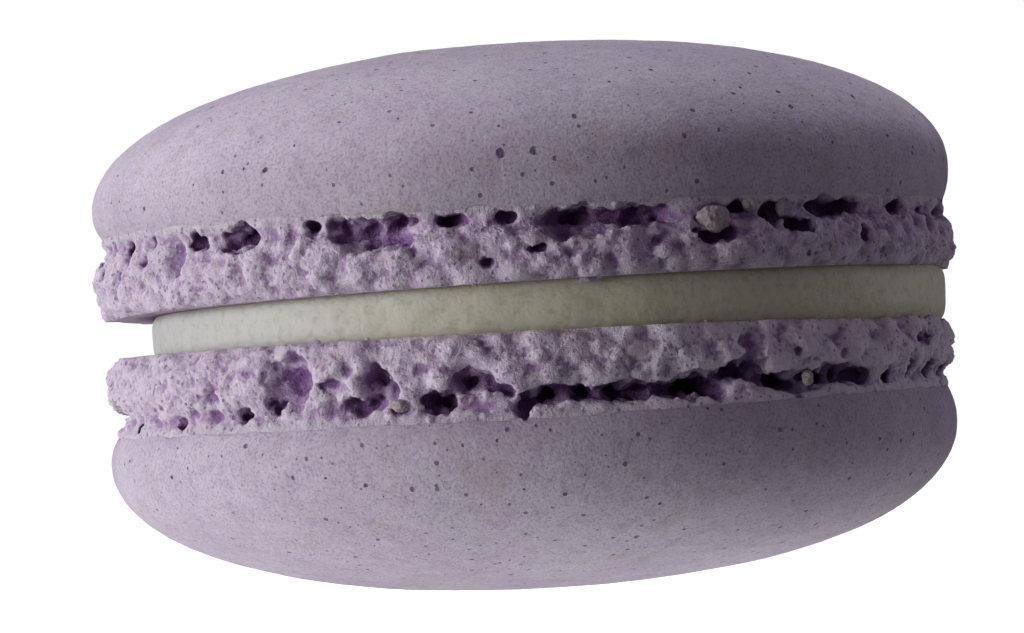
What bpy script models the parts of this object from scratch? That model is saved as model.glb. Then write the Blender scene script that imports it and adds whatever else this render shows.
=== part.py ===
"""French macaron: two almond meringue shells, base to base, with a layer of cream between them.

Each shell is one solid. Its smooth domed skin ends in a thin lip, and below the lip stands
the foot, the craggy foam ring that rose in the oven, down to the flat base it was baked on.
The lower shell lies dome down on a small flat spot. The upper one leans a little, so the
cream between them is a wedge, and it sits off centre. Metres, +Z up, +X to the thick side.
"""

import math
import random

import bmesh
import bpy
from mathutils import Vector

MM = 0.001

# Driving dimensions
SHELL_H = 11.6 * MM  # one shell, from flat base to the top of its dome
EQUATOR_H = 4.7 * MM  # height of the dome's widest ring above the flat base
CREAM_H = 2.0 * MM  # gap between the two flat bases, on the axis
CREAM_R = 18.3 * MM  # radius of the cream at its bulge
CREAM_SHIFT = Vector((0.9 * MM, -0.2 * MM, 0.0))  # where the cream's centre was squeezed to
TILT_SIDE = math.radians(0.7)  # the upper shell leans open towards +X
TILT_FRONT = math.radians(0.4)  # and a little towards -Y
REST_SPOT_R = 4.0 * MM  # flat spot that the lower dome stands on

TIP_R = 1.5 * MM  # radius of the last ring round the upper dome's tip
REST_CUT = 0.1 * MM  # what the flat spot takes off the lower dome
JOINT_GAP = 0.1 * MM  # clearance of the cream to each base
CREAM_BULGE = 0.45 * MM  # how far the cream's side swells at mid height
CREAM_FOLDS = ((3, 0.10 * MM), (11, 0.05 * MM))  # soft folds round it, and how high each is
LIP_DROP = 0.15 * MM  # how far above the seam the edge of the skin lies
LIP_INSET = 0.25 * MM  # how far the lip turns in from the dome's widest radius
LIP_ROUND = 0.04 * MM  # the same for the ring above it
LIP_RISE = 0.7 * MM  # how far below the widest ring that ring lies

# Derived dimensions
DOME_RISE = SHELL_H - EQUATOR_H
LOWER_TOP = SHELL_H - REST_CUT  # height of the lower shell's flat base above the table

DOME_POWER = 2.15  # 2 is an ellipse; a little more gives the dome its fuller shoulder
AROUND = 104  # facets around each ring
DOME_RINGS = 9
CREAM_RINGS = 6

# Heights up the foot, as shares of the seam's, with how far the plain wall lies inside its
# widest radius there.
FOOT_WALL = (
    (0.00, 1.10 * MM),
    (0.05, 0.75 * MM),
    (0.15, 0.42 * MM),
    (0.30, 0.22 * MM),
    (0.45, 0.18 * MM),
    (0.58, 0.28 * MM),
    (0.70, 0.60 * MM),
    (0.82, 0.75 * MM),
    (0.95, 0.62 * MM),
)

# The main hollows on the side that faces -Y: degrees from -Y towards +X, share of the foot's
# height, half width and half height in millimetres, and depth in millimetres.
LOWER_HOLLOWS = (
    (-54, 0.60, 0.5, 0.8, 0.5),
    (-34, 0.48, 1.2, 0.8, 1.2),
    (-20, 0.62, 0.7, 0.7, 0.9),
    (-12, 0.84, 0.9, 0.5, 1.4),
    (-7, 0.52, 1.0, 0.6, 1.1),
    (5, 0.90, 1.6, 0.5, 1.9),
    (13, 0.90, 1.2, 0.5, 1.6),
    (24, 0.86, 2.2, 0.6, 2.2),
    (31, 0.66, 1.1, 0.6, 1.6),
    (41, 0.78, 1.5, 0.6, 1.7),
    (66, 0.72, 0.8, 0.8, 0.9),
)
UPPER_HOLLOWS = (
    (-53, 0.82, 0.7, 0.5, 0.9),
    (-41, 0.90, 1.4, 0.5, 1.5),
    (-21, 0.78, 1.5, 0.7, 1.4),
    (-10, 0.92, 0.8, 0.4, 1.2),
    (6, 0.92, 1.2, 0.5, 1.8),
    (17, 0.90, 1.5, 0.4, 1.2),
    (27, 0.55, 1.0, 0.3, 0.9),
    (36, 0.86, 1.2, 0.5, 1.5),
    (43, 0.94, 0.9, 0.5, 1.4),
    (60, 0.92, 0.6, 0.4, 1.0),
)
HOLLOW_FRONT_DEG = 75  # the lists above cover this far each way from -Y
DEEPEST = 2.6 * MM  # hollows that meet go no deeper than this

# How many bumps go round the rest of a foot, and their ranges: share of its height, half width,
# half height and amount.
HOLLOWS_BEHIND = (22, (0.50, 0.90), (0.7 * MM, 1.8 * MM), (0.4 * MM, 0.8 * MM), (0.8 * MM, 2.0 * MM))
RUFFLES = (46, (0.20, 0.70), (0.7 * MM, 1.4 * MM), (0.4 * MM, 0.8 * MM), (0.10 * MM, 0.45 * MM))

MERINGUE = ("lavender_meringue", (0.50, 0.43, 0.54), 0.85)
BUTTER_CREAM = ("butter_cream", (0.74, 0.71, 0.62), 0.55)
SMOOTH_DEG = 50


class Shell:
    """What differs between the two shells. A shell's front is its own -Y, or +Y on a shell that
    a half turn about X lays dome down."""

    def __init__(self, name, front, seed, foot_radius, skin_radius, seam, hollows, rest_spot):
        self.name = name
        self.front = front
        self.seed = seed
        self.foot_radius = foot_radius
        self.skin_radius = skin_radius
        self.seam_sizes = seam
        self.hollows = hollows
        self.rest_spot = rest_spot

    def seam(self, angle):
        """Height of the seam between foot and skin: in the middle, its lean to +X, its bend."""
        middle, lean, bend = self.seam_sizes
        across = math.cos(angle)
        return (middle + lean * across + bend * across * across) * MM


UPPER = Shell(
    "upper_shell", -1, 29, 20.0 * MM, 19.70 * MM, (3.20, -0.36, 0.20), UPPER_HOLLOWS, None
)
LOWER = Shell(
    "lower_shell", 1, 11, 19.7 * MM, 19.48 * MM, (3.72, -0.22, -0.30), LOWER_HOLLOWS, REST_SPOT_R
)


def clear_scene():
    for obj in list(bpy.data.objects):
        bpy.data.objects.remove(obj, do_unlink=True)


def make_material(name, colour, roughness):
    material = bpy.data.materials.new(name)
    material.use_nodes = True
    shader = material.node_tree.nodes["Principled BSDF"]
    shader.inputs["Base Color"].default_value = (*colour, 1.0)
    shader.inputs["Roughness"].default_value = roughness
    shader.inputs["Metallic"].default_value = 0.0
    return material


def angle_from_front(degrees, front):
    """The angle around a shell's own +Z, in radians, of a place so many degrees from its front
    towards +X."""
    return front * math.radians(90 - degrees)


def turn_between(a, b):
    """The turn from angle b to angle a, from -pi to pi."""
    return (a - b + math.pi) % (2 * math.pi) - math.pi


def scatter_bumps(ranges, start, span, shell, rng):
    """(angle, height, half width, half height, amount) of bumps spread over part of a foot."""
    count, shares, wides, highs, amounts = ranges
    bumps = []
    for index in range(count):
        degrees = start + span * (index + rng.uniform(0.2, 0.8)) / count
        angle = angle_from_front(degrees, shell.front)
        height = rng.uniform(*shares) * shell.seam(angle)
        bumps.append(
            (angle, height, rng.uniform(*wides), rng.uniform(*highs), rng.uniform(*amounts))
        )
    return bumps


def make_hollows(shell, rng):
    """Every hollow around one foot."""
    hollows = []
    for degrees, share, wide, high, deep in shell.hollows:
        angle = angle_from_front(degrees, shell.front)
        hollows.append((angle, share * shell.seam(angle), wide * MM, high * MM, deep * MM))
    behind = 360 - 2 * HOLLOW_FRONT_DEG
    return hollows + scatter_bumps(HOLLOWS_BEHIND, HOLLOW_FRONT_DEG, behind, shell, rng)


def bumps_at(angle, height, radius, bumps):
    """The sum at one place of bumps that fall off as bell curves, each with its own amount."""
    total = 0.0
    for at, up, wide, high, amount in bumps:
        across = radius * turn_between(angle, at) / wide
        along = (height - up) / high
        total += amount * math.exp(-across * across - along * along)
    return total


def dome_point(shell, turn):
    """(radius, height) on the dome's outline, from its widest ring at 0 to its top at pi / 2."""
    power = 2 / DOME_POWER
    radius = shell.skin_radius * math.cos(turn) ** power
    return radius, EQUATOR_H + DOME_RISE * math.sin(turn) ** power


def ring_of(radius_at, height_at):
    """One ring of points, whose radius and height are functions of the angle."""
    ring = []
    for index in range(AROUND):
        angle = 2 * math.pi * index / AROUND
        radius = radius_at(angle)
        ring.append((radius * math.cos(angle), radius * math.sin(angle), height_at(angle)))
    return ring


def shell_rings(shell):
    """Each ring of a shell, from the flat base to the top of its dome."""
    rng = random.Random(shell.seed)
    hollows = make_hollows(shell, rng)
    ruffles = scatter_bumps(RUFFLES, 0, 360, shell, rng)

    def foot_radius(angle, share, inset):
        """The foot's plain wall, out at the ruffles and in at the hollows."""
        height = share * shell.seam(angle)
        rise = bumps_at(angle, height, shell.foot_radius, ruffles)
        depth = bumps_at(angle, height, shell.foot_radius, hollows)
        outside = min(shell.foot_radius, shell.foot_radius - inset + rise)
        return outside - min(depth, DEEPEST)

    rings = []
    for share, inset in FOOT_WALL:
        rings.append(
            ring_of(
                lambda angle: foot_radius(angle, share, inset),
                lambda angle: share * shell.seam(angle),
            )
        )
    lip_radius = shell.skin_radius - LIP_INSET
    rings.append(ring_of(lambda angle: lip_radius, lambda angle: shell.seam(angle) + LIP_DROP))

    outline = [(shell.skin_radius - LIP_ROUND, EQUATOR_H - LIP_RISE)]
    last_radius = shell.rest_spot or TIP_R
    last_turn = math.acos((last_radius / shell.skin_radius) ** (DOME_POWER / 2))
    for step in range(DOME_RINGS):
        outline.append(dome_point(shell, last_turn * step / (DOME_RINGS - 1)))
    if shell.rest_spot:
        outline[-1] = (shell.rest_spot, LOWER_TOP)
    for radius, height in outline:
        rings.append(ring_of(lambda angle: radius, lambda angle: height))
    return rings


def skin_rings(name, rings, tip, material):
    """A closed object over stacked rings, with a flat bottom and a flat top or a pointed tip."""
    mesh = bmesh.new()
    loops = [[mesh.verts.new(point) for point in ring] for ring in rings]
    mesh.faces.new(list(reversed(loops[0])))
    for below, above in zip(loops, loops[1:]):
        for index in range(len(below)):
            after = (index + 1) % len(below)
            mesh.faces.new((below[index], below[after], above[after], above[index]))
    if tip is None:
        mesh.faces.new(loops[-1])
    else:
        centre = mesh.verts.new(tip)
        for index in range(len(loops[-1])):
            after = (index + 1) % len(loops[-1])
            mesh.faces.new((loops[-1][index], loops[-1][after], centre))
    data = bpy.data.meshes.new(name)
    mesh.to_mesh(data)
    mesh.free()
    data.materials.append(material)
    data.shade_smooth()
    data.set_sharp_from_angle(angle=math.radians(SMOOTH_DEG))
    obj = bpy.data.objects.new(name, data)
    bpy.context.scene.collection.objects.link(obj)
    return obj


def make_shell(shell, material):
    """One shell in its own frame: flat base on z = 0, dome upwards."""
    tip = None if shell.rest_spot else (0.0, 0.0, SHELL_H)
    return skin_rings(shell.name, shell_rings(shell), tip, material)


def base_height(x, y):
    """Height of the upper shell's flat base over a point, above the lower shell's base."""
    return CREAM_H + math.tan(TILT_SIDE) * x - math.tan(TILT_FRONT) * y


def cream_radius(angle, share):
    """Radius of the cream's side: it bulges at mid height, and squeezing left soft folds in it."""
    bulge = CREAM_BULGE * (1 - (2 * share - 1) ** 2)
    folds = sum(height * math.sin(count * angle) for count, height in CREAM_FOLDS)
    return CREAM_R - CREAM_BULGE + bulge + folds


def make_cream(name, material):
    """The cream, from just over the lower shell's base to just under the upper one's."""
    rings = []
    for step in range(CREAM_RINGS):
        share = step / (CREAM_RINGS - 1)
        ring = []
        for index in range(AROUND):
            angle = 2 * math.pi * index / AROUND
            radius = cream_radius(angle, share)
            x = CREAM_SHIFT.x + radius * math.cos(angle)
            y = CREAM_SHIFT.y + radius * math.sin(angle)
            thickness = base_height(x, y) - 2 * JOINT_GAP
            ring.append((x, y, JOINT_GAP + share * thickness))
        rings.append(ring)
    cream = skin_rings(name, rings, None, material)
    cream.location.z = LOWER_TOP
    return cream


def centre_on_origin(objects):
    """Moves everything so that the whole stands on z = 0 with its box centred on the origin."""
    bpy.context.view_layer.update()
    corners = [obj.matrix_world @ vertex.co for obj in objects for vertex in obj.data.vertices]
    low = Vector(min(corner[axis] for corner in corners) for axis in range(3))
    high = Vector(max(corner[axis] for corner in corners) for axis in range(3))
    handle = bpy.data.objects.new("macaron", None)
    bpy.context.scene.collection.objects.link(handle)
    for obj in objects:
        obj.parent = handle
    handle.location = (-(low.x + high.x) / 2, -(low.y + high.y) / 2, -low.z)


def main():
    clear_scene()
    meringue = make_material(*MERINGUE)
    butter_cream = make_material(*BUTTER_CREAM)

    lower = make_shell(LOWER, meringue)
    lower.rotation_euler = (math.pi, 0.0, 0.0)
    lower.location.z = LOWER_TOP

    upper = make_shell(UPPER, meringue)
    upper.rotation_euler = (-TILT_FRONT, -TILT_SIDE, 0.0)
    upper.location.z = LOWER_TOP + CREAM_H

    cream = make_cream("filling", butter_cream)
    centre_on_origin((lower, cream, upper))


main()
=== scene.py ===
"""The looks of a french macaron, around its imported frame.

Each meringue shell is a smooth domed skin over a foot of risen foam, with a layer of cream
between the two feet. A shell is modelled in millimetres round its own +Z, flat base down on
z = 0, and settle() then lays it in the frame in metres. Its front is its own -Y, or +Y on the
lower shell, which a half turn about X lays dome down.
"""

import math
import random

import bpy
import numpy as np
from mathutils import Euler, Matrix, Quaternion, Vector, noise


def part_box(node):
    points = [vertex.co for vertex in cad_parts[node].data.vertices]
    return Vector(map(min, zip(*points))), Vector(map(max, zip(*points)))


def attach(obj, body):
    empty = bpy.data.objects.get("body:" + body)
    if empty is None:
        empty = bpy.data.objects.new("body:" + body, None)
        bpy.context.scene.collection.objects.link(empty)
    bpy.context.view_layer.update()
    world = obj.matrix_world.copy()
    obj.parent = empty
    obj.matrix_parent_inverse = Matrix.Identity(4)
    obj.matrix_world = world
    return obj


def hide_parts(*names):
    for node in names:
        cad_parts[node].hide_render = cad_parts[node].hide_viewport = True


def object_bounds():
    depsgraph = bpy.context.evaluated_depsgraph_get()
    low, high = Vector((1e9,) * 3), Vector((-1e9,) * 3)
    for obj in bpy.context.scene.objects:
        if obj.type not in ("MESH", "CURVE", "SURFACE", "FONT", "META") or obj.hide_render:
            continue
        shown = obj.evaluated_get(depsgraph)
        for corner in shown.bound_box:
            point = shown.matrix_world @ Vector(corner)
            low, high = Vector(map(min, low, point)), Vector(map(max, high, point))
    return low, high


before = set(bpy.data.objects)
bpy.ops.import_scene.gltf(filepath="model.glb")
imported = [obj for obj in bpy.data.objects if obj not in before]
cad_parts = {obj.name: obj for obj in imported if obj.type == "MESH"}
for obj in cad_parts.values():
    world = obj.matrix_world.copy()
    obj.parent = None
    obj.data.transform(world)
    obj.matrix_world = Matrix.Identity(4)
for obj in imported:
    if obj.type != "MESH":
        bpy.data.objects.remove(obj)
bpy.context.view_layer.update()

MM = 0.001

# The frame's places, in metres
LOWER_LOW, LOWER_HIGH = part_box("lower_shell")
AXIS = (LOWER_LOW + LOWER_HIGH) / 2  # its x and y are those of the shells' common axis
LOWER_BASE = LOWER_HIGH.z
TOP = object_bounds()[1].z

# Sizes in millimetres
CREAM_H = 2.0  # gap between the two flat bases, on the axis
CREAM_R = 18.3
CREAM_SHIFT = Vector((0.9, -0.2, 0.0))
TILT_SIDE = math.radians(0.7)  # the upper shell leans open towards +X
TILT_FRONT = math.radians(0.4)  # and a little towards -Y
SHELL_H = LOWER_BASE / MM
EQUATOR_H = 4.7  # height of the dome's widest ring above the flat base
DOME_RISE = SHELL_H - EQUATOR_H
DOME_POWER = 2.15  # 2 is an ellipse; a little more gives the dome its fuller shoulder
FOOT_TOP = 4.7  # how far up inside the dome the foot's ring reaches
FOOT_BORE = 16.4  # radius of the hole through the foot's ring, which the shell's middle hides
FOOT_NECK = 18.0  # the ring's radius at its top, inside the dome
FOOT_BELOW = 0.6  # how far the ring first goes below its flat base, which is then cut off
FAR = 60.0  # a distance outside everything, for aiming pits and for cutting the base off

# The foot's outline, up its outer side: how far inside its widest radius, and share of the
# height of the seam.
FOOT_SIDE = (
    (1.15, 0.0),
    (0.80, 0.04),
    (0.44, 0.13),
    (0.22, 0.26),
    (0.16, 0.42),
    (0.24, 0.55),
    (0.44, 0.64),
    (0.72, 0.71),
    (0.80, 0.80),
    (0.68, 0.88),
    (0.60, 0.93),
    (0.60, 1.05),
    (1.05, 1.16),
)

# How far behind that outline the wall of the ring stands, by share; lumps fill the space.
WALL_SHARES = (0.0, 0.06, 0.16, 0.60, 0.76, 0.88, 0.95, 1.2)
WALL_INSETS = (0.0, 0.10, 0.62, 0.66, 0.45, 0.25, 0.02, 0.0)

# Hollows on the side that shows its front: degrees from the front towards +X, share of the
# foot's height, half width, half height and depth.
LOWER_HOLLOWS = (
    (-60, 0.55, 0.20, 0.60, 0.5),
    (-55, 0.86, 0.30, 0.25, 0.6),
    (-42, 0.79, 0.55, 0.22, 0.9),
    (-33, 0.46, 1.05, 0.95, 1.1),
    (-37, 0.72, 0.30, 0.40, 1.0),
    (-27, 0.50, 0.50, 0.20, 0.5),
    (-20, 0.52, 0.60, 0.70, 1.2),
    (-23, 0.76, 0.75, 0.40, 1.0),
    (-13, 0.76, 0.70, 0.50, 1.6),
    (-8, 0.52, 0.72, 0.52, 1.3),
    (-4, 0.66, 0.40, 0.22, 0.9),
    (-1, 0.87, 0.35, 0.40, 1.0),
    (3, 0.73, 1.05, 0.45, 2.4),
    (11, 0.76, 1.25, 0.45, 2.2),
    (17, 0.78, 0.60, 0.35, 1.8),
    (23, 0.76, 1.30, 0.55, 2.8),
    (29, 0.60, 1.15, 0.38, 2.4),
    (30, 0.24, 0.60, 0.55, 0.7),
    (36, 0.77, 1.50, 0.45, 2.0),
    (44, 0.72, 1.20, 0.45, 2.4),
    (50, 0.78, 0.60, 0.30, 1.2),
    (56, 0.76, 0.45, 0.35, 1.2),
    (62, 0.72, 0.20, 0.45, 0.9),
    (66, 0.30, 0.70, 0.40, 0.5),
    (70, 0.72, 0.30, 0.40, 1.0),
)
UPPER_HOLLOWS = (
    (-67, 0.79, 0.20, 0.35, 0.6),
    (-58, 0.85, 0.25, 0.22, 0.7),
    (-48, 0.80, 0.50, 0.32, 0.9),
    (-52, 0.56, 0.70, 0.60, 0.5),
    (-40, 0.80, 1.05, 0.55, 1.4),
    (-28, 0.89, 0.28, 0.15, 0.8),
    (-24, 0.86, 0.45, 0.28, 1.0),
    (-19, 0.72, 1.50, 0.55, 1.0),
    (-16, 0.87, 0.70, 0.25, 1.5),
    (-9, 0.86, 0.60, 0.17, 1.1),
    (-2, 0.88, 0.50, 0.15, 0.9),
    (7, 0.84, 1.15, 0.35, 2.0),
    (7, 0.66, 1.60, 0.45, 0.9),
    (1, 0.43, 0.45, 0.12, 0.7),
    (-5, 0.28, 0.22, 0.22, 0.7),
    (15, 0.84, 1.20, 0.40, 1.2),
    (25, 0.50, 0.85, 0.22, 1.0),
    (29, 0.88, 0.45, 0.25, 1.0),
    (34, 0.79, 0.60, 0.45, 1.9),
    (38, 0.57, 0.75, 0.30, 1.6),
    (43, 0.84, 0.70, 0.42, 1.7),
    (48, 0.82, 0.80, 0.35, 1.4),
    (50, 0.44, 0.30, 0.25, 0.7),
    (59, 0.83, 0.50, 0.30, 1.2),
    (68, 0.66, 0.40, 0.50, 0.8),
)
# Smooth round bowls, in the same way
LOWER_BOWLS = (
    (-33.5, 0.47, 1.12, 1.02, 1.15),
    (-20.5, 0.50, 0.62, 0.70, 1.05),
    (-8, 0.55, 0.66, 0.50, 1.2),
)
UPPER_BOWLS = (
    (-38.5, 0.80, 0.55, 0.42, 1.2),
    (-21, 0.80, 0.62, 0.50, 0.9),
    (26, 0.49, 0.70, 0.22, 0.8),
)
HOLLOWS_FROM_DEG = 76  # the lists above cover this far each way from the front

BLOB_TURN = 0.5  # a blob's facets are turned by up to so many radians, so no two look alike


def deselect():
    if bpy.context.object and bpy.context.object.mode != "OBJECT":
        bpy.ops.object.mode_set(mode="OBJECT")
    bpy.ops.object.select_all(action="DESELECT")


def take(piece):
    """Selects one piece only, and makes it the active one."""
    deselect()
    piece.select_set(True)
    bpy.context.view_layer.objects.active = piece


def new_piece(name):
    """Names the object that an operator has just added."""
    piece = bpy.context.object
    piece.name = name
    piece.data.name = name
    return piece


def finish_with(piece, kind, **settings):
    """Adds one modifier to a piece and applies it."""
    take(piece)
    modifier = piece.modifiers.new(kind.lower(), kind)
    for setting, value in settings.items():
        setattr(modifier, setting, value)
    bpy.ops.object.modifier_apply(modifier=modifier.name)


def remesh(piece, size):
    finish_with(piece, "REMESH", mode="VOXEL", voxel_size=size, use_smooth_shade=True)


def carve(piece, cutter):
    finish_with(piece, "BOOLEAN", object=cutter, operation="DIFFERENCE", solver="MANIFOLD")


def remove(*pieces):
    for piece in pieces:
        bpy.data.objects.remove(piece, do_unlink=True)


def clouds(size, depth, hard=False):
    """A soft or hard fractal noise, for Displace."""
    texture = bpy.data.textures.new("clouds", "CLOUDS")
    texture.noise_scale = size
    texture.noise_depth = depth
    texture.noise_type = "HARD_NOISE" if hard else "SOFT_NOISE"
    return texture


def ruffle(piece, texture, amount, at, middle=0.5, group=""):
    """Moves a surface in and out by a noise, which is read with its centre at a place."""
    deselect()
    bpy.ops.object.empty_add(location=at)
    centre = bpy.context.object
    finish_with(
        piece,
        "DISPLACE",
        texture=texture,
        texture_coords="OBJECT",
        texture_coords_object=centre,
        strength=amount,
        mid_level=middle,
        vertex_group=group,
    )
    remove(centre)


def corners_of(piece):
    """A mesh's points as an array with one row each."""
    points = np.empty(len(piece.data.vertices) * 3)
    piece.data.vertices.foreach_get("co", points)
    return points.reshape(-1, 3)


def put_corners(piece, points):
    piece.data.vertices.foreach_set("co", points.ravel())
    piece.data.update()


def copies(name, model, places):
    """One object that holds a copy of the model's mesh at each place, which is a matrix."""
    corners = corners_of(model)
    corners = np.hstack([corners, np.ones((len(corners), 1))])
    faces = np.array([face.vertices for face in model.data.polygons])
    points = [(corners @ np.array(place).T)[:, :3] for place in places]
    sides = [faces + index * len(corners) for index in range(len(places))]
    mesh = bpy.data.meshes.new(name)
    mesh.from_pydata(np.vstack(points).tolist(), [], np.vstack(sides).tolist())
    piece = bpy.data.objects.new(name, mesh)
    bpy.context.scene.collection.objects.link(piece)
    return piece


def ball(subdivisions):
    """A ball of radius 1, to be copied."""
    deselect()
    bpy.ops.mesh.primitive_ico_sphere_add(subdivisions=subdivisions, radius=1.0)
    return new_piece("ball")


def around(radius, degrees, height, front):
    """A place so many degrees from a shell's front towards +X."""
    turn = math.radians(degrees)
    return Vector((radius * math.sin(turn), front * radius * math.cos(turn), height))


def blob(centre, outward, size, rng):
    """The matrix that makes a ball a blob: its half sizes are across, outward and up."""
    turn = outward.to_track_quat("Y", "Z").to_matrix().to_4x4()
    lean = Euler([rng.uniform(-BLOB_TURN, BLOB_TURN) for _ in range(3)]).to_matrix().to_4x4()
    return Matrix.Translation(centre) @ turn @ Matrix.Diagonal((*size, 1.0)) @ lean


class Shell:
    """What differs between the two shells."""

    def __init__(self, name, front, seed, foot_radius, skin_radius, hollows, bowls, seam):
        self.name = name
        self.front = front
        self.seed = seed
        self.foot_radius = foot_radius
        self.skin_radius = skin_radius
        self.bowls = bowls
        self.hollows = hollows + self.unseen_hollows()
        self.seam_sizes = seam

    def unseen_hollows(self):
        """Hollows like the listed ones for the rest of the way round."""
        rng = random.Random(self.seed)
        hollows = ()
        degrees = HOLLOWS_FROM_DEG + 2.0
        while degrees < 360 - HOLLOWS_FROM_DEG:
            wide = rng.uniform(0.25, 1.4)
            high = rng.uniform(0.22, 0.55)
            hollows += ((degrees, rng.uniform(0.50, 0.88), wide, high, rng.uniform(0.7, 2.4)),)
            degrees += 2.2 * wide + rng.uniform(1.5, 6.0)
        return hollows

    def sunk(self, degrees, share):
        """How far a place on the side lies inside the hollows: 0 at a rim, 1 in a middle."""
        turns, shares, wides, highs, _ = np.array(self.hollows).T
        turn = (degrees - turns + 180) % 360 - 180
        across = np.radians(turn) * self.foot_radius / wides
        up = (share - shares) * self.seam(math.sin(math.radians(degrees))) / highs
        return 1 - np.hypot(across, up).min()

    def seam(self, across):
        """Height of the seam, where skin meets foam, at a place across the shell from -1 to 1."""
        middle, lean, bend = self.seam_sizes
        return middle + lean * across + bend * across * across

    def side(self, share):
        """Radius of the foot's outline at a share of the seam's height."""
        insets, shares = zip(*FOOT_SIDE)
        return self.foot_radius - np.interp(share, shares, insets)

    def wall(self, share):
        """Radius of the wall behind the lumps."""
        return self.side(share) - np.interp(share, WALL_SHARES, WALL_INSETS)


UPPER = Shell("upper", -1, 29, 20.0, 19.70, UPPER_HOLLOWS, UPPER_BOWLS, (3.20, -0.36, 0.20))
LOWER = Shell("lower", 1, 11, 19.7, 19.48, LOWER_HOLLOWS, LOWER_BOWLS, (3.72, -0.22, -0.30))


def settle(piece, shell):
    """Lays a finished piece of a shell in the frame, in metres."""
    take(piece)
    piece.scale = (MM, MM, MM)
    if shell is LOWER:
        piece.rotation_euler = (math.pi, 0.0, 0.0)
        piece.location = (AXIS.x, AXIS.y, LOWER_BASE)
    else:
        piece.rotation_euler = (-TILT_FRONT, -TILT_SIDE, 0.0)
        piece.location = (AXIS.x, AXIS.y, LOWER_BASE + CREAM_H * MM)
    bpy.ops.object.transform_apply(location=True, rotation=True, scale=True)


# ---------------------------------------------------------------- skin

SKIN_CUTS = 135  # rows of faces across each side of the cube that is blown up into the dome
SKIN_BELOW = 0.2  # share of the ball below its middle that the dome keeps
BLEND_FROM = 1.5  # height above the widest ring from which the skin follows the seam's slope
LIP = 0.5  # width of the rim under the skin's edge
LIP_DEPTH = 1.4  # how far up the hidden underside lies
PITS = 420
PIT_GAP = 0.7  # least distance between two
PIT_DROP = 0.6  # how far below the widest ring they still appear
UPPER_PITS = ((-0.80, 5.5, 0.21), (0.62, 5.5, 0.21))  # the clear pair: across, height, radius


def skin_dome(shell):
    """The smooth outside of a shell, open at the seam."""
    deselect()
    bpy.ops.mesh.primitive_cube_add(size=2.0)
    skin = new_piece(shell.name + "_skin")
    bpy.ops.object.mode_set(mode="EDIT")
    bpy.ops.mesh.subdivide(number_cuts=SKIN_CUTS)
    bpy.ops.object.mode_set(mode="OBJECT")
    finish_with(skin, "CAST", cast_type="SPHERE", factor=1.0, size=1.0, use_radius_as_size=False)
    take(skin)
    bpy.ops.object.mode_set(mode="EDIT")
    bpy.ops.mesh.select_all(action="SELECT")
    bpy.ops.mesh.bisect(plane_co=(0, 0, -SKIN_BELOW), plane_no=(0, 0, 1), clear_inner=True)
    bpy.ops.object.mode_set(mode="OBJECT")

    points = corners_of(skin)
    points /= np.linalg.norm(points, axis=1, keepdims=True)
    flat = np.hypot(points[:, 0], points[:, 1])
    share = 2 / DOME_POWER
    radius = shell.skin_radius * flat**share
    height = DOME_RISE * np.sign(points[:, 2]) * np.abs(points[:, 2]) ** share
    way = points[:, :2] / np.maximum(flat, 1e-9)[:, None]
    edge = height.min()
    seam = shell.seam(way[:, 0])
    drop = np.clip((height - BLEND_FROM) / (edge - BLEND_FROM), 0, 1) ** 1.5
    height = EQUATOR_H + height + drop * (seam - EQUATOR_H - edge)
    put_corners(skin, np.column_stack([way * radius[:, None], height]))
    return skin


def skin_edge(skin, shell):
    """Roughens the open edge into small teeth, and turns it in and up to close the underside."""
    points = corners_of(skin)
    take(skin)
    bpy.ops.object.mode_set(mode="EDIT")
    bpy.ops.mesh.select_mode(type="EDGE")
    bpy.ops.mesh.select_all(action="DESELECT")
    bpy.ops.mesh.select_non_manifold(
        extend=False,
        use_wire=False,
        use_boundary=True,
        use_multi_face=False,
        use_non_contiguous=False,
        use_verts=False,
    )
    bpy.ops.object.mode_set(mode="OBJECT")
    for point, corner in zip(points, skin.data.vertices):
        if corner.select:
            place = Vector(point) + Vector((0, 0, shell.seed))
            point[2] += 0.10 * noise.noise(place * 0.9) + 0.05 * noise.noise(place * 2.3)
    put_corners(skin, points)
    take(skin)
    bpy.ops.object.mode_set(mode="EDIT")
    shrink = 1 - LIP / shell.skin_radius
    bpy.ops.mesh.extrude_region_move()
    bpy.ops.transform.resize(value=(shrink, shrink, 1.0), center_override=(0, 0, 0))
    bpy.ops.mesh.extrude_region_move(TRANSFORM_OT_translate={"value": (0, 0, LIP_DEPTH)})
    bpy.ops.mesh.extrude_region_move()
    bpy.ops.mesh.merge(type="CENTER")
    bpy.ops.mesh.select_all(action="SELECT")
    bpy.ops.mesh.normals_make_consistent(inside=False)
    bpy.ops.object.mode_set(mode="OBJECT")


def make_pits(skin, shell):
    """Burst bubbles that left small round holes in the skin."""
    rng = random.Random(shell.seed + 5)
    spots = []
    places = []
    model = ball(2)

    def add(start, way, radius):
        found, spot, normal, _ = skin.ray_cast(start, way)
        if not found or spot.z < EQUATOR_H - PIT_DROP:
            return
        if any((spot - other).length < PIT_GAP for other in spots):
            return
        spots.append(spot)
        centre = spot - normal * radius * rng.uniform(0.1, 0.5)
        size = [radius * rng.uniform(0.8, 1.25) for _ in range(3)]
        places.append(blob(centre, normal, size, rng))

    if shell is UPPER:
        for across, height, radius in UPPER_PITS:
            start = Vector((across, FAR * shell.front, height))
            add(start, Vector((0, -shell.front, 0)), radius)
    while len(places) < PITS:
        height = rng.uniform(-0.1, 1.0)
        turn = rng.uniform(0, 2 * math.pi)
        flat = math.sqrt(max(0.0, 1 - height * height))
        way = Vector((flat * math.sin(turn), flat * math.cos(turn), height)).normalized()
        add(way * FAR, -way, 0.05 + 0.09 * rng.random() ** 3)
    pits = copies("pits", model, places)
    carve(skin, pits)
    remove(model, pits)


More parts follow.
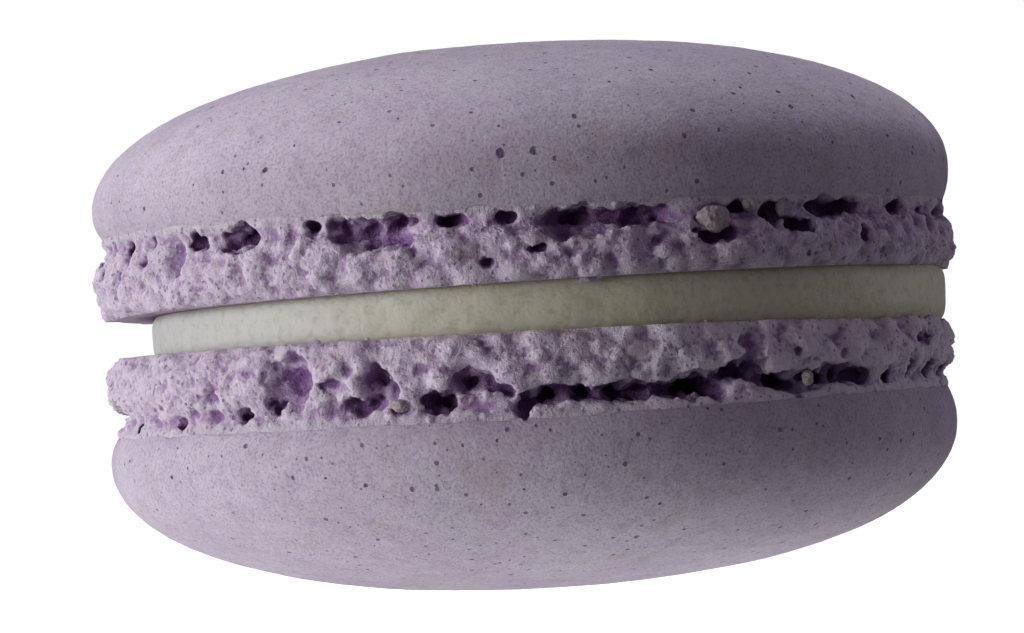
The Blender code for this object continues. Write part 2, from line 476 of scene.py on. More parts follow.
def make_skin(shell, caves):
    """The whole skin: its dome, soft dents and fine grain, torn edge and pits."""
    skin = skin_dome(shell)
    shift = (shell.seed, 2 * shell.seed, 0.0)
    ruffle(skin, clouds(9.0, 1), 0.22, shift)
    ruffle(skin, clouds(2.2, 2), 0.05, shift)
    ruffle(skin, clouds(0.55, 2), 0.03, shift)
    skin_edge(skin, shell)
    make_pits(skin, shell)
    carve(skin, caves)
    take(skin)
    bpy.ops.object.shade_smooth_by_angle(angle=math.radians(45))
    return skin


# ---------------------------------------------------------------- foot

# Lumps of the foam, from large to small: tries, lowest and highest share, smallest and largest
# radius, how flat, spacing, and how far behind the foot's outline they lie at most
LUMPS = (
    (900, 0.14, 0.56, 0.75, 1.35, 0.70, 0.76, 0.06),
    (5000, 0.08, 0.72, 0.34, 0.62, 0.90, 0.62, 0.25),
    (4000, 0.62, 0.96, 0.26, 0.50, 0.90, 0.62, 0.35),
)
LUMP_FROM_RIM = -0.25  # lumps keep clear of the hollows by this share of a hollow's size
DEBRIS = (650, 0.14, 0.42, 0.9)  # in the hollows: how many, radii, and least depth
GRAINS = (2600, 0.08, 0.17, -1.0)  # everywhere, in the same way
BUBBLES = ((120, 0.13, 0.30), (700, 0.07, 0.13))  # how many, and radii
CAVE_BLOBS = 7  # smaller blobs round the one that makes most of a cave
CAVE_INSET = 0.25  # how far a cave's middle lies inside the foot's outline
BOWL_INSET = 0.50
ROUGH_GRAIN = 0.13  # size of the foot's faces while it is built up
FOOT_GRAIN = 0.1  # and at the end
FOOT_FACES = 196000
LOOSE_SHARES = (0.0, 0.04, 0.22, 0.70, 0.90, 1.3)  # how freely the foam is ruffled, by share
LOOSE_WEIGHTS = (0.1, 0.3, 1.0, 1.0, 0.35, 0.3)
LOOSE_STEPS = 20  # in how many steps


def foot_ring(shell):
    """The plain ring of the foot: its cross-section spun right round."""
    middle = shell.seam(0.0)
    outline = [(shell.wall(share), share * middle) for _, share in FOOT_SIDE]
    outline = [(FOOT_BORE, -FOOT_BELOW), (outline[0][0], -FOOT_BELOW)] + outline
    outline += [(FOOT_NECK, FOOT_TOP), (FOOT_BORE, FOOT_TOP)]
    deselect()
    bpy.ops.mesh.primitive_circle_add(vertices=len(outline), radius=1.0, fill_type="NGON")
    foot = new_piece(shell.name + "_foot")
    put_corners(foot, np.array([(radius, 0.0, height) for radius, height in outline]))
    take(foot)
    bpy.ops.object.mode_set(mode="EDIT")
    bpy.ops.mesh.select_all(action="SELECT")
    bpy.ops.mesh.spin(steps=240, angle=2 * math.pi, center=(0, 0, 0), axis=(0, 0, 1))
    bpy.ops.mesh.select_all(action="SELECT")
    bpy.ops.mesh.remove_doubles(threshold=0.001)
    bpy.ops.mesh.delete_loose()
    bpy.ops.mesh.select_all(action="SELECT")
    bpy.ops.mesh.normals_make_consistent(inside=False)
    bpy.ops.object.mode_set(mode="OBJECT")
    # The ring stands as high as the seam does all round.
    points = corners_of(foot)
    points[:, 2] *= np.where(points[:, 2] > 0, shell.seam(across_of(points)) / middle, 1.0)
    put_corners(foot, points)
    return foot


def across_of(points):
    """Where points lie across a shell, from -1 on its -X side to 1."""
    return points[:, 0] / np.maximum(np.hypot(points[:, 0], points[:, 1]), 1e-9)


def on_side(shell, degrees, share, inset):
    """A place so far inside the foot's outline, and its way out."""
    seam = shell.seam(math.sin(math.radians(degrees)))
    spot = around(shell.side(share) - inset, degrees, share * seam, shell.front)
    return spot, around(1.0, degrees, 0.0, shell.front)


def loosen(foot, shell):
    """A vertex group that is full on the open foam and light at the base and at the seam."""
    points = corners_of(foot)
    shares = points[:, 2] / shell.seam(across_of(points))
    weights = np.interp(shares, LOOSE_SHARES, LOOSE_WEIGHTS)
    weights *= np.clip(np.hypot(points[:, 0], points[:, 1]) - FOOT_BORE - 0.3, 0, 1)
    group = foot.vertex_groups.new(name="loose")
    steps = np.round(weights * LOOSE_STEPS).astype(int)
    for step in np.unique(steps):
        corners = np.nonzero(steps == step)[0].tolist()
        group.add(corners, float(step) / LOOSE_STEPS, "REPLACE")
    return group.name


def join(first, second):
    """Adds the second piece's mesh to the first's."""
    take(first)
    second.select_set(True)
    bpy.ops.object.join()


def make_caves(shell):
    """The hollows torn in the rising foam, as one closed cutter."""
    rng = random.Random(shell.seed)
    places = []
    for degrees, share, wide, high, deep in shell.hollows:
        centre, outward = on_side(shell, degrees, share, CAVE_INSET)
        places.append(blob(centre, outward, (wide * 0.95, deep, high * 0.95), rng))
        for _ in range(CAVE_BLOBS):
            turn = rng.uniform(0, 2 * math.pi)
            side = Vector((0, 0, 1)).cross(outward)
            shift = side * wide * math.cos(turn) + Vector((0, 0, high * 0.9 * math.sin(turn)))
            part = rng.uniform(0.2, 0.55)
            size = (wide * part, deep * rng.uniform(0.4, 1.0), high * part + 0.08)
            places.append(blob(centre + shift, outward, size, rng))
    model = ball(3)
    caves = copies("caves", model, places)
    remove(model)
    remesh(caves, FOOT_GRAIN)
    ruffle(caves, clouds(0.45, 4), 0.75, (shell.seed, 3, 7))
    ruffle(caves, clouds(0.20, 2), 0.22, (shell.seed, 5, 1))
    model = ball(4)
    places = []
    for degrees, share, wide, high, deep in shell.bowls:
        centre, outward = on_side(shell, degrees, share, BOWL_INSET)
        places.append(blob(centre, outward, (wide, deep, high), rng))
    join(caves, copies("bowls", model, places))
    remove(model)
    remesh(caves, FOOT_GRAIN)
    return caves


def make_bubbles(shell):
    """Bubbles of many sizes all round the foot, as one closed cutter."""
    rng = random.Random(shell.seed + 1)
    places = []
    for count, small, large in BUBBLES:
        for _ in range(count):
            radius = rng.uniform(small, large)
            share = rng.uniform(0.10, 1.0) ** 0.8
            centre, outward = on_side(shell, rng.uniform(0, 360), share, rng.uniform(-0.3, 0.4))
            size = [radius * rng.uniform(0.7, 1.3) for _ in range(3)]
            places.append(blob(centre, outward, size, rng))
    model = ball(2)
    bubbles = copies("bubbles", model, places)
    remove(model)
    remesh(bubbles, FOOT_GRAIN)
    return bubbles


def make_lumps(shell):
    """Lumps of foam side by side over the wall of the foot, except in the hollows."""
    rng = random.Random(shell.seed + 2)
    places = []
    taken = np.zeros((sum(kind[0] for kind in LUMPS), 4))  # centre and radius of each
    for tries, low, high, small, large, flat, spacing, hidden in LUMPS:
        for _ in range(tries):
            degrees = rng.uniform(0, 360)
            share = rng.uniform(low, high)
            radius = small + (large - small) * rng.random() ** 1.5
            if shell.sunk(degrees, share) > LUMP_FROM_RIM:
                continue
            out = radius * flat
            centre, outward = on_side(shell, degrees, share, out + rng.uniform(-0.12, hidden))
            others = taken[: len(places)]
            gaps = np.linalg.norm(others[:, :3] - np.array(centre), axis=1)
            if (gaps < spacing * (others[:, 3] + radius)).any():
                continue
            taken[len(places)] = (*centre, radius)
            size = (radius * rng.uniform(0.9, 1.25), out, radius * rng.uniform(0.75, 1.0))
            places.append(blob(centre, outward, size, rng))
    model = ball(3)
    lumps = copies("lumps", model, places)
    remove(model)
    return lumps


def stick(foot, shell, grains, seed):
    """Adds small balls to the foot's side, wherever it is deep enough behind its outline."""
    count, small, large, least_depth = grains
    rng = random.Random(shell.seed + seed)
    points = corners_of(foot)
    radius = np.hypot(points[:, 0], points[:, 1])
    shares = points[:, 2] / shell.seam(across_of(points))
    depth = shell.side(shares) - radius
    on_foam = (radius > FOOT_BORE + 0.5) & (shares > 0.02) & (shares < 0.98)
    spots = np.nonzero(on_foam & (depth > least_depth))[0]
    places = []
    for _ in range(count):
        spot = Vector(points[spots[rng.randrange(len(spots))]])
        outward = Vector((spot.x, spot.y, 0)).normalized()
        radius = small + (large - small) * rng.random() ** 2
        size = [radius * rng.uniform(0.75, 1.3) for _ in range(3)]
        places.append(blob(spot - outward * radius * 0.35, outward, size, rng))
    model = ball(2)
    balls = copies("balls", model, places)
    remove(model)
    join(foot, balls)


def make_foot(shell, caves):
    """The whole foot: lumps on a ring, roughened, then torn, bubbled and grained."""
    foot = foot_ring(shell)
    join(foot, make_lumps(shell))
    remesh(foot, ROUGH_GRAIN)
    shift = (shell.seed, 0.0, 5.0)
    group = loosen(foot, shell)
    ruffle(foot, clouds(2.4, 1), 0.40, shift, group=group)
    ruffle(foot, clouds(0.7, 3), 0.30, shift, group=group)
    carve(foot, caves)
    stick(foot, shell, DEBRIS, 3)
    remesh(foot, ROUGH_GRAIN)
    bubbles = make_bubbles(shell)
    carve(foot, bubbles)
    remove(bubbles)
    stick(foot, shell, GRAINS, 4)
    remesh(foot, FOOT_GRAIN)
    group = loosen(foot, shell)
    ruffle(foot, clouds(0.25, 2, hard=True), 0.12, shift, middle=0.4, group=group)

    deselect()
    bpy.ops.mesh.primitive_cube_add(size=FAR, location=(0, 0, -FAR / 2))
    below = new_piece("below")
    carve(foot, below)
    remove(below)
    faces = sum(len(face.vertices) - 2 for face in foot.data.polygons)
    ratio = min(1.0, FOOT_FACES / faces)
    finish_with(foot, "DECIMATE", decimate_type="COLLAPSE", ratio=ratio)
    foot.vertex_groups.clear()
    return foot


# ---------------------------------------------------------------- crumbs and almond bits

# Shell, degrees from its front towards +X, height above its base, how far outside its foot's
# radius, and half sizes across, outward and up
CRUMBS = (
    ("upper", 7.8, -0.12, -1.00, (0.42, 0.16, 0.13)),
    ("upper", -6.8, 0.02, -0.85, (0.14, 0.12, 0.11)),
    ("upper", 9.4, -0.02, -0.95, (0.11, 0.09, 0.08)),
    ("upper", -26.5, 0.10, -0.75, (0.12, 0.08, 0.07)),
    ("lower", -29.5, -0.04, -1.00, (0.15, 0.10, 0.09)),
    ("lower", -22.0, -0.03, -1.05, (0.10, 0.08, 0.07)),
    ("lower", 24.0, -0.04, -1.00, (0.11, 0.09, 0.07)),
)
ALMOND_BITS = (
    ("upper", 25.0, 2.20, -0.60, (0.74, 0.50, 0.56)),
    ("upper", 30.5, 2.75, -0.75, (0.30, 0.25, 0.30)),
    ("upper", 35.5, 2.55, -0.75, (0.24, 0.25, 0.38)),
    ("lower", -17.5, 2.90, -0.75, (0.46, 0.30, 0.30)),
    ("lower", 38.5, 2.62, -0.55, (0.24, 0.25, 0.34)),
)


def make_bits(name, listed, seed, extra):
    """Irregular bits that cling to the feet, the listed ones and so many more behind."""
    rng = random.Random(seed)
    listed = list(listed)
    for _ in range(extra):
        size = [rng.uniform(0.08, 0.20) for _ in range(3)]
        degrees = rng.uniform(100, 260)
        shell_name = rng.choice((UPPER.name, LOWER.name))
        listed.append((shell_name, degrees, rng.uniform(0.2, 2.6), -0.30, size))
    parts = []
    for shell_name, degrees, height, out, size in listed:
        shell = UPPER if shell_name == UPPER.name else LOWER
        model = ball(4)
        shift = (rng.uniform(0, 90), 0, 0)
        ruffle(model, clouds(1.1, 2), 0.9, shift)
        ruffle(model, clouds(0.25, 3, hard=True), 0.16, shift)
        spot = around(shell.foot_radius + out, degrees, height, shell.front)
        place = blob(spot, around(1.0, degrees, 0.0, shell.front), size, rng)
        bit = copies(name, model, [place])
        remove(model)
        settle(bit, shell)
        parts.append(bit)
    for part in parts[1:]:
        join(parts[0], part)
    return parts[0]


# ---------------------------------------------------------------- cream

CREAM_AROUND = 640  # faces round its side
CREAM_ROWS = 26
CREAM_BULGE = 0.30  # how far its side swells at mid height
CREAM_FOLD = 0.10  # three wide folds round it
CREAM_RIPPLES = ((0.10, 7, 1.5, 0), (0.035, 24, 3.0, 5))  # height, fineness round and up, shift
CREAM_OVERLAP = 0.12  # how far it sinks into each base


def base_height(x, y):
    """Height of the upper shell's flat base over a point, above the lower shell's."""
    return CREAM_H + math.tan(TILT_SIDE) * x - math.tan(TILT_FRONT) * y


def make_cream():
    """A cylinder cut into rows, then swelled, folded and rippled to fill the wedge."""
    deselect()
    bpy.ops.mesh.primitive_cylinder_add(
        vertices=CREAM_AROUND, radius=1.0, depth=1.0, end_fill_type="TRIFAN"
    )
    cream = new_piece("cream")
    bpy.ops.object.mode_set(mode="EDIT")
    for row in range(1, CREAM_ROWS):
        bpy.ops.mesh.select_all(action="SELECT")
        bpy.ops.mesh.bisect(plane_co=(0, 0, row / CREAM_ROWS - 0.5), plane_no=(0, 0, 1))
    bpy.ops.object.mode_set(mode="OBJECT")
    points = corners_of(cream)
    for point in points:
        share = point[2] + 0.5
        turn = math.atan2(point[1], point[0])
        flat = math.hypot(point[0], point[1])
        way = Vector((math.cos(turn), math.sin(turn), 0))
        radius = CREAM_R - CREAM_BULGE * abs(2 * share - 1) ** 4
        radius += CREAM_FOLD * math.sin(3 * turn + 0.6)
        for high, fine, fine_up, shift in CREAM_RIPPLES:
            spot = (way.x * fine, way.y * fine, share * fine_up + shift)
            radius += high * noise.noise(Vector(spot))
        x = CREAM_SHIFT.x + radius * flat * way.x
        y = CREAM_SHIFT.y + radius * flat * way.y
        height = share * (base_height(x, y) + 2 * CREAM_OVERLAP) - CREAM_OVERLAP
        point[:] = (x * MM + AXIS.x, y * MM + AXIS.y, height * MM + LOWER_BASE)
    put_corners(cream, points)
    take(cream)
    bpy.ops.object.shade_smooth_by_angle(angle=math.radians(60))
    return cream


# ---------------------------------------------------------------- materials


class Value:
    """One output of a node, so that shader maths reads as a Python expression."""

    def __init__(self, paint, socket):
        self.paint = paint
        self.socket = socket

    def combine(self, operation, other):
        sockets = {0: self, 1: other}
        return self.paint.node("ShaderNodeMath", {"operation": operation}, sockets)

    def __add__(self, other):
        return self.combine("ADD", other)

    def __sub__(self, other):
        return self.combine("SUBTRACT", other)

    def __mul__(self, other):
        return self.combine("MULTIPLY", other)


class Paint:
    """A material under construction around its Principled BSDF."""

    def __init__(self, name, roughness, **constants):
        self.material = bpy.data.materials.new(name)
        self.material.use_nodes = True
        self.tree = self.material.node_tree
        self.shader = self.tree.nodes["Principled BSDF"]
        self.shader.inputs["Roughness"].default_value = roughness
        for socket, value in constants.items():
            self.shader.inputs[socket.replace("_", " ")].default_value = value
        self.place = self.node("ShaderNodeTexCoord", output="Object")

    def set_socket(self, socket, value):
        if isinstance(value, Value):
            self.tree.links.new(value.socket, socket)
        else:
            socket.default_value = value

    def node(self, kind, settings=None, inputs=None, output=0):
        """Adds a node; the answer is one of its outputs."""
        made = self.tree.nodes.new(kind)
        for setting, value in (settings or {}).items():
            setattr(made, setting, value)
        for socket, value in (inputs or {}).items():
            self.set_socket(made.inputs[socket], value)
        return Value(self, made.outputs[output])

    def shifted(self, distance):
        """The piece's coordinates moved by so many millimetres, for a pattern of its own."""
        return self.node("ShaderNodeVectorMath", {}, {0: self.place, 1: (distance * MM,) * 3})

    def part(self, axis):
        """One of the piece's coordinates, in metres."""
        return self.node("ShaderNodeSeparateXYZ", {}, {"Vector": self.place}, axis)

    def noise(self, size, detail, rough=0.5, place=None):
        """Fractal noise with features of a size in millimetres."""
        sockets = {
            "Vector": place or self.place,
            "Scale": 1 / (size * MM),
            "Detail": detail,
            "Roughness": rough,
        }
        return self.node("ShaderNodeTexNoise", {}, sockets)

    def cells(self, size):
        """Distance to the nearest of points scattered about a size apart, in shares of that
        size, and a random number for each point."""
        sockets = {"Vector": self.place, "Scale": 1 / (size * MM)}
        distance = self.node("ShaderNodeTexVoronoi", {}, sockets, "Distance")
        colour = self.node("ShaderNodeTexVoronoi", {}, sockets, "Color")
        return distance, self.node("ShaderNodeSeparateColor", {}, {"Color": colour})

    def between(self, value, low, high, to_low=0.0, to_high=1.0):
        """Smooth step of a value from low to high."""
        sockets = {"Value": value, 1: low, 2: high, 3: to_low, 4: to_high}
        return self.node("ShaderNodeMapRange", {"interpolation_type": "SMOOTHSTEP"}, sockets)

    def mix(self, factor, first, second):
        settings = {"data_type": "RGBA", "clamp_factor": True}
        return self.node("ShaderNodeMix", settings, {0: factor, 6: first, 7: second}, 2)

    def bump(self, height, distance):
        """A bump whose height of 1 stands for a distance in millimetres."""
        return self.node("ShaderNodeBump", {}, {"Height": height, "Distance": distance * MM})

    def attribute(self, name):
        return self.node("ShaderNodeAttribute", {"attribute_name": name}, {}, "Fac")

    def finish(self, **sockets):
        """Joins values to the shader's sockets, whose names have _ for a space."""
        for name, value in sockets.items():
            self.set_socket(self.shader.inputs[name.replace("_", " ")], value)
        return self.material


def rgb(red, green, blue):
    return (red, green, blue, 1.0)


LAVENDER = rgb(0.592, 0.524, 0.630)
PALE_LAVENDER = rgb(0.675, 0.610, 0.702)
DUSTY = rgb(0.560, 0.480, 0.500)
PALE_BLUE = rgb(0.685, 0.652, 0.760)
DULL_VIOLET = rgb(0.430, 0.355, 0.480)
FOAM = rgb(0.640, 0.525, 0.690)
PALE_FOAM = rgb(0.730, 0.645, 0.770)
WHITE_FOAM = rgb(0.900, 0.825, 0.925)
VIOLET = rgb(0.330, 0.165, 0.415)
PURPLE = rgb(0.200, 0.080, 0.260)
DEEP_PURPLE = rgb(0.070, 0.022, 0.100)
ALMOND = rgb(0.680, 0.570, 0.510)
# Ends of the cream's painted light, from the lit -X side to the shaded +X side
PAINTED_LIGHT_COOL_CREAM = rgb(0.62, 0.605, 0.55)
PAINTED_LIGHT_WARM_CREAM = rgb(0.96, 0.88, 0.52)
SOFT_CREAM = rgb(0.84, 0.81, 0.66)
DARK_CREAM = rgb(0.45, 0.40, 0.28)
CRUMB_COLOURS = (rgb(0.46, 0.38, 0.50), rgb(0.62, 0.56, 0.66))
ALMOND_COLOURS = (rgb(0.40, 0.34, 0.36), rgb(0.54, 0.48, 0.48))


def skin_paint():
    """Dusty lavender in soft clouds and blotches, with fine grain and sparse dark dots."""
    paint = Paint("meringue_skin", 0.85, Specular_IOR_Level=0.3)
    clouded = paint.between(paint.noise(6.0, 3.0), 0.35, 0.7)
    colour = paint.mix(clouded, LAVENDER, PALE_LAVENDER)
    blotch = paint.between(paint.noise(2.2, 5.0, 0.65), 0.52, 0.70)
    colour = paint.mix(blotch * 0.7, colour, DUSTY)
    cool = paint.between(paint.noise(1.3, 4.0, 0.65, place=paint.shifted(9.0)), 0.50, 0.68)
    colour = paint.mix(cool * 0.5, colour, PALE_BLUE)
    dull = paint.between(paint.noise(0.9, 4.0, 0.7, place=paint.shifted(5.0)), 0.50, 0.72)
    colour = paint.mix(dull * 0.5, colour, DULL_VIOLET)
    grain = paint.noise(0.13, 3.0, 0.75)
    colour = paint.mix(paint.between(grain, 0.56, 0.30) * 0.5, colour, PURPLE)
    distance, pick = paint.cells(0.62)
    dots = paint.between(distance - pick * pick * 0.15, 0.035, 0.0)
    colour = paint.mix(dots * pick * 0.7, colour, DEEP_PURPLE)
    height = paint.noise(0.35, 4.0, 0.6) * 0.6 + grain * 0.4 - dots * 1.5
    return paint.finish(Base_Color=colour, Normal=paint.bump(height, 0.07))


def foam_paint():
    """Foam with painted light: painted paler where it stands out and on the lower foot towards +X,
    and painted shade, violet to near black, in its hollows.
    """
    paint = Paint(
        "meringue_foam",
        0.85,
        Specular_IOR_Level=0.3,
        Subsurface_Weight=0.35,
        Subsurface_Radius=(1.0, 0.6, 1.0),
        Subsurface_Scale=0.35 * MM,
    )
    # The foam's own colour, with tan and violet patches; at the seam it becomes the skin's.
    clouded = paint.between(paint.noise(0.8, 4.0, 0.65), 0.35, 0.68)
    colour = paint.mix(clouded, FOAM, PALE_FOAM)
    tan = paint.between(paint.noise(1.7, 3.0), 0.58, 0.75)
    colour = paint.mix(tan * 0.5, colour, ALMOND)
    violet = paint.between(paint.noise(1.1, 4.0, 0.6, place=paint.shifted(3.0)), 0.50, 0.68)
    colour = paint.mix(violet * 0.30, colour, VIOLET)
    seam = paint.between(paint.attribute("rise"), 0.84, 0.94)
    colour = paint.mix(seam * 0.9, colour, LAVENDER)

    # Painted light: the lower foot is painted paler from its middle to +X, for light that falls on
    # it there.
    right = paint.between(paint.part("X"), -2 * MM, 5 * MM)
    lower = paint.between(paint.part("Z"), LOWER_BASE + 1.5 * MM, LOWER_BASE + 0.5 * MM)
    # Painted light, not the foam's own colour
    colour = paint.mix(right * lower * 0.75, colour, WHITE_FOAM)

    # Fine grain, with a painted highlight on the crests and painted shade in the pores
    nick = paint.attribute("nick")
    grain = paint.noise(0.10, 2.0, 0.7)
    colour = paint.mix(paint.between(grain, 0.54, 0.68) * 0.6, colour, WHITE_FOAM)
    # Painted highlight: crests, where the surface bulges out, are painted paler
    colour = paint.mix(paint.between(nick, 0.0, -0.03) * 0.3, colour, WHITE_FOAM)
    colour = paint.mix(paint.between(grain, 0.46, 0.30) * 0.25, colour, VIOLET)
    # Painted shade: the small pores are painted purple
    distance, pick = paint.cells(0.30)
    pores = paint.between(distance - pick * 0.34, 0.04, -0.04)
    colour = paint.mix(pores * 0.5, colour, PURPLE)

    # Painted shade: creases, deep hollows and places that see little open sky are painted violet
    # to near black
    depth = paint.attribute("depth")
    colour = paint.mix(paint.between(nick, 0.003, 0.04) * 0.5, colour, VIOLET)
    colour = paint.mix(paint.between(paint.attribute("crease"), 0.02, 0.25) * 0.75, colour, VIOLET)
    colour = paint.mix(paint.between(depth, 0.45, 1.0) * 0.5, colour, VIOLET)
    colour = paint.mix(paint.between(depth, 1.0, 1.9) * 0.85, colour, PURPLE)
    reach = {"Distance": 1.0 * MM}
    # Painted shade from ambient occlusion within 1 mm
    open_sky = paint.node("ShaderNodeAmbientOcclusion", {"samples": 8}, reach, "AO")
    colour = paint.mix(paint.between(open_sky, 0.85, 0.45) * 0.6, colour, VIOLET)
    colour = paint.mix(paint.between(open_sky, 0.60, 0.15) * 0.9, colour, DEEP_PURPLE)

    torn = paint.noise(0.5, 4.0, 0.7) * paint.between(depth, 0.5, 1.3)
    height = grain + paint.noise(0.25, 2.0) * 0.8 - pores * 0.8 + torn * 4.0
    return paint.finish(Base_Color=colour, Normal=paint.bump(height, 0.10))


def cream_paint():
    """Waxy butter cream, faintly mottled, with painted light: it is greyer towards the lit -X side
    and paler and more yellow towards the shaded +X side.
    """
    paint = Paint(
        "butter_cream",
        0.55,
        Specular_IOR_Level=0.4,
        Subsurface_Weight=0.7,
        Subsurface_Radius=(1.0, 0.85, 0.5),
        Subsurface_Scale=6 * MM,
    )
    # Painted light: a gradient along X from grey on the lit side to pale yellow on the shaded side
    painted_light_warmth = paint.between(paint.part("X"), -16 * MM, 5 * MM)
    colour = paint.mix(painted_light_warmth, PAINTED_LIGHT_COOL_CREAM, PAINTED_LIGHT_WARM_CREAM)
    soft = paint.noise(1.4, 3.0)
    colour = paint.mix(paint.between(soft, 0.35, 0.7) * 0.25, colour, SOFT_CREAM)
    mottle = paint.noise(0.40, 3.0, 0.6)
    colour = paint.mix(paint.between(mottle, 0.52, 0.32) * 0.35, colour, DARK_CREAM)
    return paint.finish(Base_Color=colour, Normal=paint.bump(mottle + soft, 0.08))


def bit_paint(name, dark, light):
    """For crumbs and almond bits: two colours in clouds, with dark grain."""
    paint = Paint(name, 0.8, Specular_IOR_Level=0.3)
    colour = paint.mix(paint.between(paint.noise(0.35, 4.0, 0.65), 0.35, 0.65), dark, light)
    grain = paint.noise(0.08, 2.0, 0.7)
    colour = paint.mix(paint.between(grain, 0.50, 0.30) * 0.4, colour, PURPLE)
    return paint.finish(Base_Color=colour, Normal=paint.bump(grain, 0.05))


def coat(piece, material):
    """Gives a piece one material only."""
    piece.data.materials.clear()
    piece.data.materials.append(material)


# ---------------------------------------------------------------- putting it together


CREASES = (("nick", 5), ("crease", 50))  # each mark and its rounds of smoothing


def smoothed(piece, rounds):
    """A piece's points, each moved so many times over to the mean of its neighbours."""
    points = corners_of(piece)
    count = len(points)
    ends = np.empty(len(piece.data.edges) * 2, np.int32)
    piece.data.edges.foreach_get("vertices", ends)
    here = np.concatenate([ends[0::2], ends[1::2]])
    there = np.concatenate([ends[1::2], ends[0::2]])
    links = np.maximum(np.bincount(here, minlength=count), 1)
    for _ in range(rounds):
        sums = [np.bincount(here, points[there, axis], count) for axis in range(3)]
        points = np.column_stack(sums) / links[:, None]
    return points


def mark(piece, name, values):
    """Stores one value a point for the material."""
    marks = piece.data.attributes.new(name, "FLOAT", "POINT")
    marks.data.foreach_set("value", values.astype(np.float32))


def mark_foam(foot, shell):
    """Marks each point's depth behind the foot's outline, its share of the way up, and how far
    down it lies in fine and coarse creases, which the foam's painted shade and highlight read."""
    points = corners_of(foot)
    shares = points[:, 2] / shell.seam(across_of(points))
    mark(foot, "depth", shell.side(shares) - np.hypot(points[:, 0], points[:, 1]))
    mark(foot, "rise", shares)
    normals = np.empty(points.size, np.float32)
    foot.data.vertex_normals.foreach_get("vector", normals)
    normals = normals.reshape(-1, 3)
    for name, rounds in CREASES:
        mark(foot, name, ((smoothed(foot, rounds) - points) * normals).sum(axis=1))


def make_shell(shell, paints):
    """Both visible pieces of a shell, in the frame and with the materials for skin and foam."""
    caves = make_caves(shell)
    foot = make_foot(shell, caves)
    mark_foam(foot, shell)
    skin = make_skin(shell, caves)
    remove(caves)
    for piece, paint in ((skin, paints[0]), (foot, paints[1])):
        coat(piece, paint)
        settle(piece, shell)
        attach(piece, "root")
        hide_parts(shell.name + "_shell")


# ---------------------------------------------------------------- stage, lights and camera

POOL_LIGHT = 0.62  # radiance of the floor just under the piece
POOL_EDGE = (16 * MM, 36 * MM)  # radii between which it fades to the floor's own
POOL_FADED = 0.02
POOL_SHIFT = (6 * MM, -3 * MM, 0)  # from the pool's middle to the origin
FLOOR_GLOW = 0.72  # what the camera sees of the floor near the piece
FAR_GLOW = 1.02  # and far from it
GLOW_EDGE = (60 * MM, 200 * MM)
ROOM_LIGHT = rgb(0.102, 0.079, 0.108)
WHITE = rgb(1, 1, 1)


def make_stage():
    """A pale floor. The camera sees it evenly lit; what it sends up is a pool under the piece."""
    deselect()
    bpy.ops.mesh.primitive_circle_add(vertices=96, radius=4.0, fill_type="NGON")
    floor = new_piece("floor")
    paint = Paint("floor_paint", 0.9)
    offset = paint.node("ShaderNodeVectorMath", {}, {0: paint.place, 1: POOL_SHIFT})
    length = {"operation": "LENGTH"}
    distance = paint.node("ShaderNodeVectorMath", length, {0: offset}, "Value")
    pool = paint.between(distance, *POOL_EDGE, POOL_LIGHT, POOL_FADED)
    glow = paint.between(distance, *GLOW_EDGE, FLOOR_GLOW, FAR_GLOW)
    seen = paint.node("ShaderNodeLightPath", output="Is Camera Ray")
    pale = paint.mix(seen, rgb(0.08, 0.08, 0.08), rgb(0.75, 0.75, 0.76))
    light = pool + seen * glow
    coat(floor, paint.finish(Base_Color=pale, Emission_Color=WHITE, Emission_Strength=light))


def make_world():
    """Dim, even light from all round the room, which the camera sees as white."""
    world = bpy.data.worlds.new("studio")
    bpy.context.scene.world = world
    world.use_nodes = True
    tree = world.node_tree
    tree.nodes.clear()
    out = tree.nodes.new("ShaderNodeOutputWorld")
    mix = tree.nodes.new("ShaderNodeMixShader")
    path = tree.nodes.new("ShaderNodeLightPath")
    tree.links.new(path.outputs["Is Camera Ray"], mix.inputs[0])
    for socket, colour in ((1, ROOM_LIGHT), (2, WHITE)):
        background = tree.nodes.new("ShaderNodeBackground")
        background.inputs["Color"].default_value = colour
        tree.links.new(background.outputs[0], mix.inputs[socket])
    tree.links.new(mix.outputs[0], out.inputs[0])


def area_light(name, place, target, size, power, colour):
    """A soft oval light, which the camera doesn't see."""
    data = bpy.data.lights.new(name, "AREA")
    data.shape = "ELLIPSE"
    data.size, data.size_y = size
    data.energy = power
    data.color = colour
    light = bpy.data.objects.new(name, data)
    bpy.context.scene.collection.objects.link(light)
    light.location = place
    light.rotation_euler = (target - place).to_track_quat("-Z", "Y").to_euler()
    light.visible_camera = False


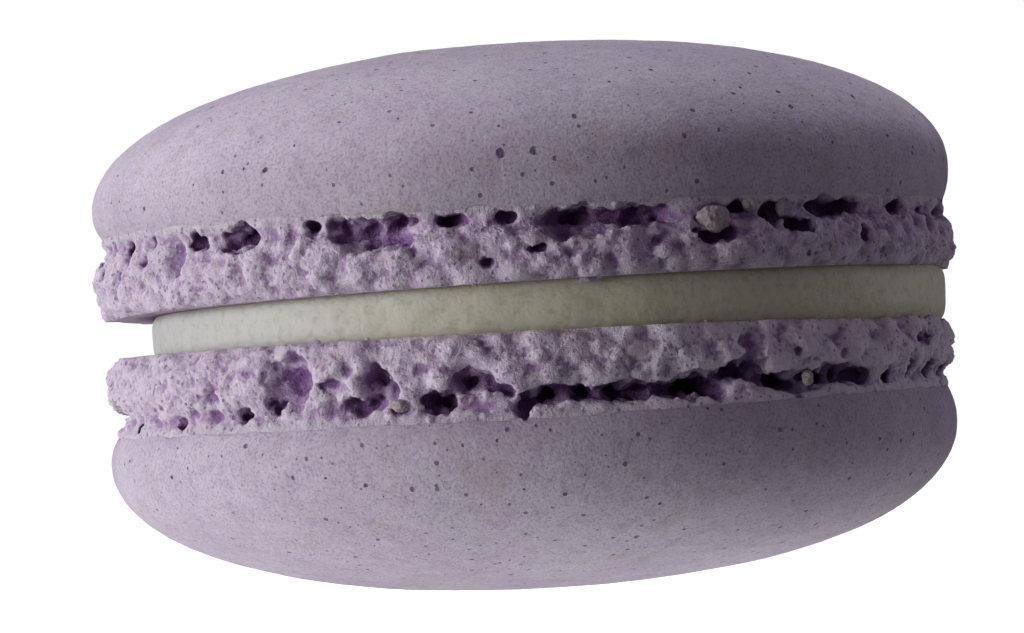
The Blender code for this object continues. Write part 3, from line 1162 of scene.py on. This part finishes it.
# Name, degrees from the front towards +X, rise over run, distance, width and height, power and
# colour. The key is low and flat: what hangs below the floor would light nothing.
LIGHTS = (
    ("key", -73, 0.05, 0.35, (0.44, 0.08), 1.15, (1.0, 1.0, 0.99)),
    ("top", -150, 4.0, 0.50, (0.30, 0.30), 1.15, (0.95, 0.99, 1.0)),
    ("rim", 112, 0.0, 0.40, (0.20, 0.20), 0.25, (0.9, 0.95, 1.0)),
)
CAMERA_BACK = 0.256
CAMERA_HEIGHT = 7.0 * MM
CAMERA_ASIDE = 0.81 * MM  # how far to -X it stands and looks
CAMERA_ROLL = math.radians(-3.0)


def make_lights():
    middle = Vector((0, 0, TOP / 2))
    for name, degrees, rise, distance, size, power, colour in LIGHTS:
        way = around(1.0, degrees, rise, -1).normalized()
        area_light(name, middle + way * distance, middle, size, power, colour)


def make_camera():
    """A long lens close to the height of the seams, rolled a little."""
    data = bpy.data.cameras.new("camera")
    data.sensor_width = 36.0
    data.lens = 195.0
    data.clip_start = 0.01
    data.clip_end = 20.0
    camera = bpy.data.objects.new("camera", data)
    bpy.context.scene.collection.objects.link(camera)
    bpy.context.scene.camera = camera
    target = Vector((-CAMERA_ASIDE, 0.0, TOP / 2))
    camera.location = (target.x, -CAMERA_BACK, CAMERA_HEIGHT)
    camera.rotation_mode = "QUATERNION"
    look = (target - camera.location).to_track_quat("-Z", "Y")
    camera.rotation_quaternion = look @ Quaternion((0, 0, 1), CAMERA_ROLL)


# ---------------------------------------------------------------- the whole piece

paints = (skin_paint(), foam_paint())
for shell in (UPPER, LOWER):
    make_shell(shell, paints)
crumbs = make_bits("crumbs", CRUMBS, 41, 16)
coat(crumbs, bit_paint("crumb", *CRUMB_COLOURS))
almonds = make_bits("almond_bits", ALMOND_BITS, 43, 6)
coat(almonds, bit_paint("ground_almond", *ALMOND_COLOURS))
for bits in (crumbs, almonds):
    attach(bits, "root")
cream = make_cream()
coat(cream, cream_paint())
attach(cream, "root")
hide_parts("filling")
make_stage()
make_world()
make_lights()
make_camera()
bpy.context.scene.view_settings.view_transform = "Standard"
deselect()
